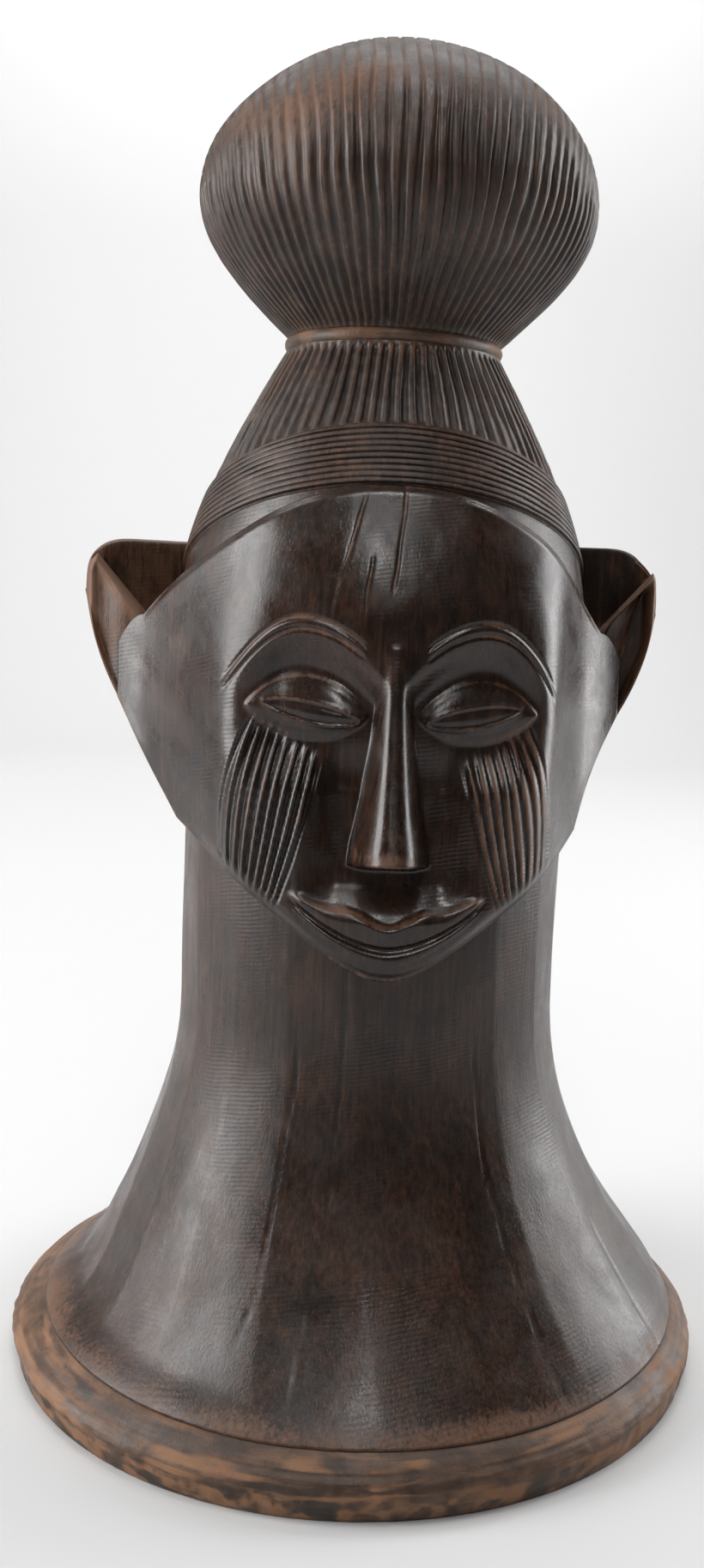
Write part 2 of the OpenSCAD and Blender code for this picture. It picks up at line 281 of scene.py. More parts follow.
def wood_colour_group():
    """Colour of old patinated wood. Fibres run along Z. A dark patina is broken
    by warmer brown clouds, streaks and flecks; where the rub mark is high the patina is
    worn through to pale wood, first on the fibres that stand up; where the cut
    mark is high, the wood is darkened towards near black: grime in cracks and
    incised lines, and painted shade in recesses such as eye sockets, cheek hollows
    and ear pockets."""
    group, start, end = new_group(
        "wood_colour",
        [
            ("Place", PLACE, None),
            ("Patina", COLOUR, (0.02, 0.013, 0.01, 1)),
            ("Warm", COLOUR, (0.05, 0.025, 0.015, 1)),
            ("Bare", COLOUR, (0.2, 0.1, 0.05, 1)),
            ("Warmth", NUMBER, 0.5),
            ("Rub", NUMBER, 0.0),
            ("Cut", NUMBER, 0.0),
        ],
        [("Colour", COLOUR), ("Wear", NUMBER)],
    )
    place = start.outputs["Place"]
    fibre = noise(group, stretched(group, place, (900, 900, 45)), 1.0, 5.0, 0.6, 0.4)
    streak = noise(group, stretched(group, place, (120, 120, 9)), 1.0, 4.0, 0.6, 0.8)
    cloud = noise(group, place, 26.0, 4.0, 0.6, 0.5)
    speck = noise(group, stretched(group, place, (1, 1, 0.4)), 620.0, 4.0, 0.75)
    clouds = math_node(group, "ADD", cloud, math_node(group, "MULTIPLY", streak, 0.5))
    blotch = noise(group, stretched(group, place, (1, 1, 0.55)), 150.0, 4.0, 0.65, 0.8)
    clouds = math_node(group, "ADD", math_node(group, "MULTIPLY", clouds, 0.6),
                       math_node(group, "MULTIPLY", blotch, 0.7))
    warm_share = math_node(group, "MULTIPLY", spread(group, clouds, 0.6, 1.0), start.outputs["Warmth"])
    base = mix_colour(group, warm_share, start.outputs["Patina"], start.outputs["Warm"])
    shade = spread(group, fibre, 0.3, 0.7, 0.55, 1.45)
    shade_colour = node_in(group, "ShaderNodeCombineColor")
    for socket in shade_colour.inputs:
        group.links.new(shade, socket)
    base = mix_colour(group, 1.0, base, shade_colour.outputs[0], "MULTIPLY")
    uneven = math_node(group, "ADD", math_node(group, "MULTIPLY", fibre, 0.45),
                       math_node(group, "MULTIPLY", speck, 0.55))
    uneven = math_node(group, "ADD", uneven, math_node(group, "MULTIPLY", cloud, 0.6))
    reach = math_node(group, "ADD", uneven, start.outputs["Rub"])
    wear = spread(group, reach, 1.05, 1.5)
    fleck = noise(group, stretched(group, place, (1, 1, 0.35)), 260.0, 5.0, 0.7, 0.6)
    fleck = math_node(group, "MULTIPLY", spread(group, fleck, 0.58, 0.68), start.outputs["Warmth"])
    warmer = mix_colour(group, 0.42, start.outputs["Warm"], start.outputs["Bare"])
    base = mix_colour(group, math_node(group, "MULTIPLY", fleck, 0.4), base, warmer)
    base = mix_colour(group, wear, base, start.outputs["Bare"])
    # near-black mix by the cut mark: grime in cracks and incised lines, and painted shade in recesses
    dirt_and_shade = math_node(group, "MULTIPLY", start.outputs["Cut"], 0.62, clamp=True)
    base = mix_colour(group, dirt_and_shade, base, (0.006, 0.004, 0.0035, 1))
    group.links.new(base, end.inputs["Colour"])
    group.links.new(wear, end.inputs["Wear"])
    return group


def tool_marks_group():
    """Height of fine tool marks: scraper ripples that run across the fibres,
    bent by slow noise and strong only in patches, with open pores and fibres."""
    group, start, end = new_group(
        "tool_marks",
        [
            ("Place", PLACE, None),
            ("Ripple", NUMBER, 0.5),
            ("Fibre", NUMBER, 0.5),
            ("Scratch", NUMBER, 0.3),
        ],
        [("Height", NUMBER), ("Gloss", NUMBER)],
    )
    place = start.outputs["Place"]
    wave = node_in(group, "ShaderNodeTexWave", wave_type="BANDS", bands_direction="Z",
                   Scale=260.0, Distortion=3.0, Detail=2.0)
    wave.inputs["Detail Scale"].default_value = 0.35
    group.links.new(stretched(group, place, (1, 1, 1), (0.12, 0.16, 0)), wave.inputs["Vector"])
    patch = spread(group, noise(group, place, 38.0, 2.0, 0.5), 0.42, 0.62)
    ripple = math_node(group, "MULTIPLY", math_node(group, "MULTIPLY", wave.outputs["Fac"], patch),
                       start.outputs["Ripple"])
    fibre = noise(group, stretched(group, place, (1300, 1300, 60)), 1.0, 4.0, 0.6)
    fibre = math_node(group, "MULTIPLY", fibre, start.outputs["Fibre"])
    scratch = noise(group, stretched(group, place, (60, 60, 700), (0.35, 0.2, 0.1)), 1.0, 5.0, 0.7, 0.3)
    scratch = math_node(group, "MULTIPLY", scratch, start.outputs["Scratch"])
    soft = noise(group, place, 140.0, 2.0, 0.5)
    pits = noise(group, stretched(group, place, (1, 1, 0.5)), 1500.0, 3.0, 0.6)
    pits = spread(group, pits, 0.34, 0.46)
    height = math_node(group, "ADD", ripple, math_node(group, "MULTIPLY", pits, 0.14))
    height = math_node(group, "ADD", height, fibre)
    height = math_node(group, "ADD", height, scratch)
    height = math_node(group, "ADD", height, math_node(group, "MULTIPLY", soft, 0.35))
    group.links.new(height, end.inputs["Height"])
    group.links.new(noise(group, place, 55.0, 5.0, 0.65, 0.6), end.inputs["Gloss"])
    return group


WOOD_COLOUR = wood_colour_group()
TOOL_MARKS = tool_marks_group()


def wood(name, patina, warm, bare, warmth, gloss, ripple=0.5, fibre=0.5, scratch=0.3, depth=0.12,
         grain=(1, 1, 1)):
    """A finish of old wood: colours, how warm and how polished it is, and how
    strong its tool marks are. gloss is the roughness of the polish, low and high;
    grain squeezes the colour pattern, so that its streaks run across the squeeze."""
    material = bpy.data.materials.new(name)
    material.use_nodes = True
    tree = material.node_tree
    shader = tree.nodes["Principled BSDF"]
    place = node_in(tree, "ShaderNodeTexCoord").outputs["Object"]
    colour = node_in(tree, "ShaderNodeGroup", node_tree=WOOD_COLOUR)
    colour.inputs["Patina"].default_value = (*patina, 1)
    colour.inputs["Warm"].default_value = (*warm, 1)
    colour.inputs["Bare"].default_value = (*bare, 1)
    colour.inputs["Warmth"].default_value = warmth
    marks = node_in(tree, "ShaderNodeGroup", node_tree=TOOL_MARKS)
    marks.inputs["Ripple"].default_value = ripple
    marks.inputs["Fibre"].default_value = fibre
    marks.inputs["Scratch"].default_value = scratch
    tree.links.new(stretched(tree, place, grain), colour.inputs["Place"])
    tree.links.new(place, marks.inputs["Place"])
    # rub lightens towards bare wood; cut darkens: grime, and painted shade in recesses
    for mark, label in (("rub", "Rub"), ("cut", "Cut")):
        reader = node_in(tree, "ShaderNodeAttribute", attribute_name=mark)
        tree.links.new(reader.outputs["Fac"], colour.inputs[label])
    tree.links.new(colour.outputs["Colour"], shader.inputs["Base Color"])
    low, high = gloss
    polish = spread(tree, marks.outputs["Gloss"], 0.3, 0.7, low, high)
    worn = math_node(tree, "MULTIPLY", colour.outputs["Wear"], 0.22)
    tree.links.new(math_node(tree, "ADD", polish, worn, clamp=True), shader.inputs["Roughness"])
    bump = node_in(tree, "ShaderNodeBump", Strength=0.6, Distance=depth * MM)
    tree.links.new(marks.outputs["Height"], bump.inputs["Height"])
    tree.links.new(bump.outputs[0], shader.inputs["Normal"])
    shader.inputs["IOR"].default_value = 1.47
    return material


BARE = (0.125, 0.058, 0.03)
neck_finish = wood("neck_patina", (0.0135, 0.008, 0.0058), (0.042, 0.0195, 0.0115), BARE,
                   0.85, (0.26, 0.42), ripple=0.16, fibre=0.5, scratch=0.35, depth=0.2)
face_finish = wood("face_polish", (0.0105, 0.007, 0.0053), (0.033, 0.0145, 0.0085), BARE,
                   0.8, (0.2, 0.36), ripple=0.26, fibre=0.4, scratch=0.16, depth=0.13)
hair_finish = wood("hair_patina", (0.019, 0.0115, 0.008), (0.06, 0.028, 0.015), BARE,
                   0.9, (0.36, 0.55), ripple=0.0, fibre=0.8, scratch=0.4, depth=0.22)
rim_finish = wood("rim_worn", (0.042, 0.022, 0.0125), (0.12, 0.058, 0.027), (0.2, 0.1, 0.05),
                  1.0, (0.42, 0.6), ripple=0.0, fibre=0.6, scratch=0.8, depth=0.25,
                  grain=(0.12, 0.12, 3.0))


# ------------------------------------------------------------- turned outlines
def flare_radius(z):
    """Foot rim, flare and column: a quarter sine up to the rim's widest place, a
    quarter cosine in to the incised line, a parabola from there to the column."""
    edge = STAND_R + (FOOT_R - STAND_R) * np.sin(0.5 * math.pi * np.clip(z / ARRIS_Z, 0, 1))
    t = np.clip((z - ARRIS_Z) / (RIM_Z - ARRIS_Z), 0, 1)
    rim = LINE_R + (FOOT_R - LINE_R) * np.cos(0.5 * math.pi * t)
    flare = NECK_R + (LINE_R - NECK_R) * (np.clip(FLARE_TOP - z, 0, None) / (FLARE_TOP - RIM_Z)) ** 2
    return np.where(z < ARRIS_Z, edge, np.where(z < RIM_Z, rim, flare))


def crown_radius(z):
    """Head: the column swells to the head, then a quarter sine draws in to the waist."""
    t = np.clip((TIE_Z - z) / (TIE_Z - CROWN_Z), 0, 1)
    below = NECK_R + (HEAD_R - NECK_R) * ease(CROWN_Z - 60, CROWN_Z, z)
    return np.where(z <= CROWN_Z, below, TIE_R + (HEAD_R - TIE_R) * np.sin(0.5 * math.pi * t))


def facets(angle, z, count, seed):
    """Flat knife cuts round a column, as a share of its radius: each cut is a
    chord, and its edges wander up the column."""
    wander = 0.35 * turned_noise(angle, z, 2.0, (2.0, 2.0, 70.0), seed)
    place = angle * count / (2.0 * math.pi) + wander * 1.6
    across = (place - np.floor(place) - 0.5) * 2.0 * math.pi / count
    half = math.pi / count
    return np.cos(half) / np.cos(across) - 1.0 + 0.5 * (1.0 - np.cos(half))


def worn_side(angle, z):
    """How far the foot is cut away on the head's right side, just over the rim."""
    return 3.4 * np.clip(-np.sin(angle), 0, None) ** 2 * ease(9, RIM_Z, z) * (1 - ease(22, 46, z))


def column_relief(angle, z):
    """Unevenness of the hand-cut column and flare, in mm."""
    radius = flare_radius(z)
    flat = facets(angle, z, COLUMN_CUTS, 3) * radius * 0.5
    slow = 0.7 * turned_noise(angle, z, radius, (45, 45, 60), 5)
    small = 0.16 * turned_noise(angle, z, radius, (9, 9, 22), 8)
    small = small + 0.38 * turned_noise(angle, z, radius, (17, 17, 34), 9)
    small = small + 0.04 * turned_noise(angle, z, radius, (3.2, 3.2, 8.0), 10)
    return (flat + slow + small) * ease(RIM_Z - 2, RIM_Z + 14, z)


def crack_lines(angle, z, paths):
    """Depth from 0 to 1 of drying cracks; each path is (angle in degrees, low z,
    high z, lean in degrees per mm, width in mm)."""
    total = np.zeros(np.broadcast(angle, z).shape)
    radius = flare_radius(z)
    for number, (degrees, low, high, lean, width) in enumerate(paths):
        centre = math.radians(degrees) + math.radians(lean) * (z - low)
        centre = centre + 0.012 * lumps(z, number, 0.0, 11.0, 40 + number)
        away = (angle - centre + math.pi) % (2.0 * math.pi) - math.pi
        ends = ease(low, low + 12, z) * (1.0 - ease(high - 15, high, z))
        total = np.maximum(total, bell(away * radius, width) * ends)
    return total


# Drying cracks round the column, as crack_lines takes them.
CRACKS = [
    (-13.0, 18.0, 168.0, 0.035, 0.3),
    (-25.0, 30.0, 118.0, 0.03, 0.28),
    (33.0, 15.0, 120.0, -0.05, 0.3),
    (62.0, 4.0, 60.0, 0.0, 0.3),
    (148.0, 25.0, 190.0, 0.02, 0.6),
    (-118.0, 8.0, 110.0, -0.02, 0.45),
]


# Cracks in the forehead: low and high end above the chin, place across, lean, width.
FOREHEAD_CRACKS = [
    (97, 132, -18.6, 0.29, 0.42),
    (103, 134, -1.7, 0.12, 0.42),
    (96, 116, -9.0, 0.1, 0.4),
]


# ------------------------------------------------------------------- foot rim
def foot_rim():
    """Worn rim: the outline turned round the axis with two incised lines, a
    chipped and flattened lower edge, and a flat underside with saw ripples."""
    cols = 720
    noise_r = 109.0  # radius at which the noise round the rim is read
    angle = around(cols)[None, :]
    under = np.linspace(6.0, STAND_R - 2.0, 26)
    side = np.concatenate([np.linspace(0.0, 3.0, 7)[1:], np.linspace(3.0, RIM_Z, 40)[1:]])
    z = np.concatenate([np.zeros(len(under)), side])[:, None] + np.zeros_like(angle)
    base = np.concatenate([under, flare_radius(side)])[:, None] + np.zeros_like(angle)
    edge = ease(0.0, 2.0, z) * (1.0 - ease(9.0, 12.0, z))
    dents = turned_noise(angle, z, noise_r, (7, 7, 6), 21)
    chips = edge * (0.9 * np.minimum(0.0, dents + 0.1) + 0.25 * turned_noise(angle, z, noise_r, 2.6, 22))
    slow = 0.5 * turned_noise(angle, z, noise_r, (40, 40, 30), 23) - 0.35
    second = 12.6 + 0.25 * turned_noise(angle, z, noise_r, 30, 24)
    line = bell(z - second, 0.42) * (0.55 + 0.4 * turned_noise(angle, z, noise_r, 25, 25))
    upper = bell(z - RIM_Z, 0.8)
    scratch = 0.16 * lumps(angle * 9.0, 0.0, z, (1.0, 1.0, 0.7), 26) * ease(8, 10, z)
    on_side = z > 0.01
    relief = chips + slow * ease(0, 4, z) - 0.55 * line - 0.4 * upper + scratch
    radius = base - worn_side(angle, z) + np.where(on_side, relief, 0.0)
    saw = 0.12 * np.sin(base * np.cos(angle) * 0.9 + 2 * turned_noise(angle, z, base, 30, 27))
    z = np.where(on_side, z, np.maximum(saw, 0.0) * ease(20, 0, STAND_R - 4 - base))
    rub = 0.3 + 0.3 * turned_noise(angle, z, noise_r, (18, 18, 5), 28)
    rub = rub + 0.3 * lumps(angle * 9.0, 0.0, z, (1.0, 1.0, 0.8), 32)
    patch = turned_noise(angle, z, noise_r, (9.0, 9.0, 5.0), 29)
    patch = 0.6 * patch + 0.6 * turned_noise(angle, z, noise_r, (3.6, 3.6, 3.0), 30)
    patch = patch + 0.35 * turned_noise(angle, z, noise_r, (1.5, 1.5, 1.5), 33)
    low_edge = 1.0 - ease(6.0, 8.5, z + 1.2 * turned_noise(angle, 0 * z, noise_r, 6, 34))
    rub = rub * (1 - low_edge) + low_edge * (0.35 + 0.9 * patch)
    rub = rub + 0.2 * bell(z - 8.3, 0.9)
    cut = low_edge * ease(-0.05, 0.55, -patch) * 0.9 + 0.35 * line + 0.12 * upper
    cut = np.where(on_side, cut, 0.25)
    marks = {"rub": np.where(on_side, rub, 0.25), "cut": cut}
    return turned("foot_rim_carved", angle, radius, z, ["foot_rim"], rim_finish, marks)


# ----------------------------------------------------------------- neck column
def slope_height(radius, angle, offset):
    """Height of the hair's tilted cut at a radius and angle; offset is measured
    square to the cut from the band's middle."""
    return BAND_Z + offset / math.cos(BAND_TILT) + math.tan(BAND_TILT) * radius * np.cos(angle)


def neck():
    """Flare and column: facets of the knife, slow unevenness and drying cracks,
    from the rim's incised line up to the tilted lower edge of the hairline band."""
    rows, cols = 190, 500
    angle = around(cols)[None, :]
    top = slope_height(HEAD_R, angle, -BAND_HALF + 1.0)
    share = np.linspace(0, 1, rows)[:, None] ** 1.15
    z = RIM_Z + (top - RIM_Z) * share
    base = np.where(z > 130, crown_radius(z), flare_radius(z))
    cracks = crack_lines(angle, z, CRACKS)
    radius = base + column_relief(angle, z) * (1 - ease(225, 240, z)) - 0.45 * cracks
    radius = radius - 0.15 * bell(z - RIM_Z, 1.2) - worn_side(angle, z)
    low = 1.0 - ease(RIM_Z + 1, RIM_Z + 9, z)
    rub = 0.06 + 0.2 * turned_noise(angle, z, base, (30, 30, 60), 31)
    rub = rub + 0.4 * low + 0.25 * cracks
    marks = {"rub": rub, "cut": 0.2 * bell(z - RIM_Z, 0.8) + 0.3 * cracks}
    aside = bell(z - 34.0, 26.0) * ease(RIM_Z, RIM_Z + 8, z)
    radius = radius + aside * (3.4 * np.sin(angle) - 1.2)
    return turned("neck_carved", angle, radius, z, ["flared_neck"], neck_finish, marks)


# ------------------------------------------------------------------ hair flutes
def flutes(phase, width):
    """Hair flutes: phase counts them, and width is the share of each that is cut
    away. Returns depth from 0 on a ridge to 1 in the middle of a groove."""
    across = np.abs(phase - np.floor(phase) - 0.5) * 2.0
    return 1.0 - ease(width * 0.35, width, across)


def crown():
    """Fluted hair: grooves run up from the band to the waist, each with a
    rounded floor, wandering a little, between narrow ridges."""
    rows, cols = 104, 840
    angle = around(cols)[None, :]
    inner = slope_height(crown_radius(slope_height(50, angle, -BAND_HALF)), angle, -BAND_HALF)
    share = np.linspace(0, 1, rows)[:, None]
    z = inner + (TIE_Z + 0.3 - inner) * share
    base = crown_radius(z)
    wander = 0.28 * turned_noise(angle, z, base, (14, 14, 30), 51)
    phase = angle * CROWN_FLUTES / (2 * math.pi) + wander
    live = 0.75 + 0.35 * turned_noise(angle, z, base, (4, 4, 18), 52)
    groove = flutes(phase, 0.78)
    above = slope_height(base, angle, BAND_HALF)
    reach = ease(-1, 2, z - above) * (1 - ease(TIE_Z - 2.5, TIE_Z, z))
    depth = 1.25 * groove * live * reach
    radius = base + 0.25 - depth + 0.12 * turned_noise(angle, z, base, 3.0, 53)
    rub = 0.3 * (1 - groove) * reach + 0.22 * turned_noise(angle, z, base, (16, 16, 20), 54)
    rub = rub + 0.25 * ease(TIE_Z - 7, TIE_Z, z)
    marks = {"rub": rub, "cut": 0.7 * groove * live * reach}
    return turned("crown_carved", angle, radius, z, ["fluted_crown"], hair_finish, marks)


def topknot():
    """Topknot: a quarter sine swells to its widest place and a quarter ellipse
    closes it. Gouged flutes below turn into fine incised lines above that run
    over the top from front to back, in planes across the head."""
    rows_low, rows_top, cols = 46, 62, 860
    angle = around(cols)[None, :]
    low_z = np.linspace(KNOT_Z - 0.3, KNOT_MID_Z, rows_low)[:-1]
    tilt = np.linspace(0.0, 1.0, rows_top) ** 0.9 * math.radians(88.6)
    z = np.concatenate([low_z, KNOT_MID_Z + KNOT_TOP_H * np.sin(tilt)])[:, None]
    z = z + np.zeros_like(angle)
    swell = np.clip((z - KNOT_Z) / (KNOT_MID_Z - KNOT_Z), 0, 1)
    below = TIE_R + (KNOT_R - TIE_R) * np.sin(0.5 * math.pi * swell)
    above = KNOT_R * np.sqrt(np.clip(1.0 - ((z - KNOT_MID_Z) / KNOT_TOP_H) ** 2, 1e-6, 1))
    base = np.where(z < KNOT_MID_Z, below, above)
    rise = np.clip((z - KNOT_MID_Z) / KNOT_TOP_H, 0, 1)
    x = base * np.sin(angle) / (KNOT_R * (1.0 + 0.12 * rise))
    label = np.arcsin(np.clip(np.where(z < KNOT_MID_Z, np.sin(angle), x), -1, 1))
    wander = 0.24 * turned_noise(angle, z, base, (13, 13, 26), 61)
    phase = label * KNOT_FLUTES / (2 * math.pi) + wander + 0.25
    up = ease(KNOT_MID_Z - 14, KNOT_MID_Z + 30, z)
    width = 0.72 - 0.4 * up
    groove = flutes(phase, width)
    live = 0.72 + 0.4 * turned_noise(angle, z, base, (5, 5, 16), 62)
    ends = ease(KNOT_Z - 0.5, KNOT_Z + 2.5, z)
    pole = ease(2.0, 12.0, base)
    depth = groove * live * ends * (0.35 + 0.65 * pole) * (1.25 - 0.75 * up)
    slow = 0.55 * turned_noise(angle, z, base, (26, 26, 22), 63) - 0.25
    slow = slow - 2.4 * np.clip(-np.sin(angle), 0, None) * bell(rise - 0.72, 0.3)
    small = 0.1 * turned_noise(angle, z, base, 3.2, 64)
    off_pole = ease(8, 30, base)
    radius = base + (slow + small) * pole - depth * (0.25 + 0.75 * off_pole)
    z = z - depth * (1 - off_pole) - 0.5 * depth * up * off_pole
    cloud = turned_noise(angle, z, base, (17, 17, 14), 65)
    worn = bell(z - (KNOT_MID_Z + 22), 12) * (0.5 + 0.5 * np.cos(angle))
    rub = 0.16 * (1 - groove) * (1 - up) + 0.3 * cloud - 0.06 + 0.3 * worn
    rub = rub + 0.42 * groove * up + 0.25 * (1 - ease(KNOT_Z, KNOT_Z + 5, z))
    marks = {"rub": rub, "cut": 0.7 * groove * (1 - up)}
    return turned("topknot_carved", angle, radius, z, ["topknot"], hair_finish, marks)


def tie_ring():
    """Narrow worn cord-like ring at the waist: a half sine that bulges out."""
    rows, cols = 22, 420
    angle = around(cols)[None, :]
    share = np.linspace(0, 1, rows)[:, None]
    z = TIE_Z - 0.4 + (TIE_H + 0.8) * share + 0.35 * turned_noise(angle, 0 * share, TIE_R, 22, 71)
    radius = TIE_R - 0.6 + 1.6 * np.sin(math.pi * share) ** 0.7
    radius = radius + 0.25 * turned_noise(angle, z, TIE_R, (6, 6, 3), 72) * np.sin(math.pi * share)
    rub = 0.3 + 0.4 * turned_noise(angle, z, TIE_R, (9, 9, 4), 73)
    marks = {"rub": rub, "cut": np.zeros_like(rub)}
    return turned("tie_ring_carved", angle, radius, z, ["tie_ring"], rim_finish, marks)


def hairline_band():
    """Hairline band: a closed strip round the head on the hair's slope, its face
    stepped in overlapping strands whose edges wander slightly."""
    cols, face_rows = 540, 92
    noise_r = 55.0  # radius at which the noise round the band is read
    angle = around(cols)[None, :]
    share = np.linspace(0, 1, face_rows)[:, None]
    offset = (2 * share - 1) * BAND_HALF
    z = slope_height(52.0, angle, offset)
    for _ in range(6):
        z = slope_height(crown_radius(z) + BAND_OUT, angle, offset)
    wander = 0.16 * turned_noise(angle, z, noise_r, (20, 20, 6), 81)
    place = share * BAND_STRANDS + wander
    step = place - np.floor(place)
    depth = 0.95 * (1 - ease(0.0, 0.42, step)) + 0.25 * ease(0.85, 1.0, step)
    depth = depth * (0.8 + 0.35 * turned_noise(angle, z, noise_r, (12, 12, 4), 82))
    depth = depth * ease(0.0, 0.03, share) * (1 - ease(0.97, 1.0, share))
    hem = 1.0 - bell(share, 0.03) - bell(1 - share, 0.03)
    radius = crown_radius(z) + (BAND_OUT - depth) * np.clip(hem, 0.2, 1)
    inner = np.array([1.0, 0.0])[:, None]
    inner_offset = (2 * inner - 1) * BAND_HALF
    inner_z = slope_height(50.0, angle, inner_offset)
    for _ in range(6):
        inner_z = slope_height(crown_radius(inner_z) - 2.5, angle, inner_offset)
    inner_radius = crown_radius(inner_z) - 2.5
    all_z = np.vstack([z, inner_z])
    all_radius = np.vstack([radius, inner_radius])
    points = round_points(angle, all_radius, all_z).reshape(-1, 3)
    rub = 0.3 * ease(0.35, 0.6, step) * (1 - ease(0.8, 1, step))
    rub = rub + 0.25 * turned_noise(angle, z, noise_r, (15, 15, 9), 83)
    cut = 0.6 * (1 - ease(0.05, 0.35, step))
    pad = np.zeros((2, cols))
    marks = {"rub": np.vstack([rub, pad]).ravel(), "cut": np.vstack([cut, pad]).ravel()}
    faces = [quads_of(face_rows + 2, cols, wrap_rows=True, wrap_cols=True)]
    return carve("hairline_band_carved", points, faces, ["hairline_band"],
                 hair_finish, marks)


# ------------------------------------------------------------------------ face
def jaw(x):
    """Jaw line: height of the face's lower edge above the chin, which is rounded."""
    a = np.abs(x)
    rise = np.hypot(JAW_RISE * (a / JAW_W) ** 1.2, 3.2) - 2.0 * bell(a, 20.0)
    return np.where(a < JAW_W, rise, JAW_RISE + (a - JAW_W) * JAW_SLOPE)


def hairline(x):
    """Hairline: height of the face's upper edge above the chin."""
    a = np.abs(x)
    past = HAIRLINE - HAIR_DROP - 9 * ((a - NOTCH_X) / (CHEEK_W - NOTCH_X)) ** 2
    return np.where(a < NOTCH_X, HAIRLINE - HAIR_DROP * (a / NOTCH_X) ** 2.2, past)


def mask(x, h):
    """Plain mask: forehead that rounds off upwards, chin that comes forward, and
    cheeks that turn back; the two surfaces meet in a soft minimum."""
    chin_forward = 6.5 * (BROW_UP - h) / BROW_UP
    lean = np.where(h > BROW_UP, 0.0076 * (h - BROW_UP) ** 2, -chin_forward)
    front = NECK_R + BROW_OUT - 0.007 * x * x - lean
    in_from_edge = CHEEK_W - np.abs(x)
    side = FACE_BACK + 1.3 + 0.62 * in_from_edge + 0.029 * in_from_edge**2
    soft = 5.0 + 5.0 * ease(85, 118, h)
    return -soft * np.log(np.exp(-front / soft) + np.exp(-side / soft))


def brow_line(a):
    """Upper line of the brow: a parabola that falls faster outwards."""
    return BROW_ARC_UP - np.where(a < BROW_ARC_X, 0.026, 0.041) * (a - BROW_ARC_X) ** 2


def eye_marks(a, h):
    """An eye as signed measures: bulge of the lids, ridge round the almond,
    depth of the slit, and ridge along the slit's lids."""
    along = (a - EYE_X) / EYE_HALF
    reach = np.clip(1 - along**2, 0, 1) ** 0.85
    middle = EYE_UP + 0.8 * along
    up, down = LID_UP * reach, LID_DOWN * reach
    away = h - middle
    inside = np.abs(along) < 1
    part = np.where(away > 0, away / np.maximum(up, 0.2), -away / np.maximum(down, 0.2))
    part = np.where(inside, part, 3.0)
    lid = np.sqrt(np.clip(1 - along**2, 0, 1)) * np.clip(1 - part**2.4, 0, 1)
    edge = np.where(away > 0, away - up, -away - down)
    rim = np.where(inside, bell(edge, 0.75), 0.0)
    slit_along = (a - SLIT_X) / SLIT_HALF
    slit_reach = np.clip(1 - slit_along**2, 0, 1) ** 0.8
    slit_middle = SLIT_UP + 0.15 * (a - SLIT_X)
    slit_away = h - slit_middle
    half = np.where(slit_away > 0, 2.7, 3.0) * slit_reach
    slit_in = np.abs(slit_along) < 1
    slit_part = np.where(slit_in, np.abs(slit_away) / np.maximum(half, 0.15), 3.0)
    ball = np.clip(1 - slit_part**2, 0, 1)
    open_eye = 1 - ease(0.75, 1.05, slit_part)
    lash = np.where(slit_in, bell(np.abs(slit_away) - half, 0.6), 0.0)
    return lid, rim, open_eye, ball, lash


def scars(x, h):
    """Cheek grooves: lines fan from under the eye to the jaw. Returns groove
    depth from 0 to 1 and the share of the cheek that they cover."""
    a = np.abs(x)
    inner = 19.0 + 0.2 * (62 - h) + 0.0016 * (62 - h) ** 2
    outer = 45.6 - 0.006 * (h - 38) ** 2 - 0.00004 * np.clip(h - 38, 0, None) ** 3
    place = (a - inner) / (outer - inner)
    top = 60.5 + 9 * place
    field = ease(-0.09, 0.02, place) * (1 - ease(0.98, 1.08, place))
    top = top + 1.8 * lumps(np.floor(place * SCAR_COUNT + 0.5), 0.0, 0.0, 0.9, 92)
    ends = (1 - ease(top - 4.5, top + 2.0, h)) * ease(1.0, 5.0, h - jaw(x))
    phase = place * SCAR_COUNT + 0.5 + 0.12 * lumps(x, h, 0, (5, 18, 1), 91)
    across = np.abs(phase - np.floor(phase) - 0.5) * 2
    return (1 - ease(0.2, 0.85, across)) * field * ends, field * ends


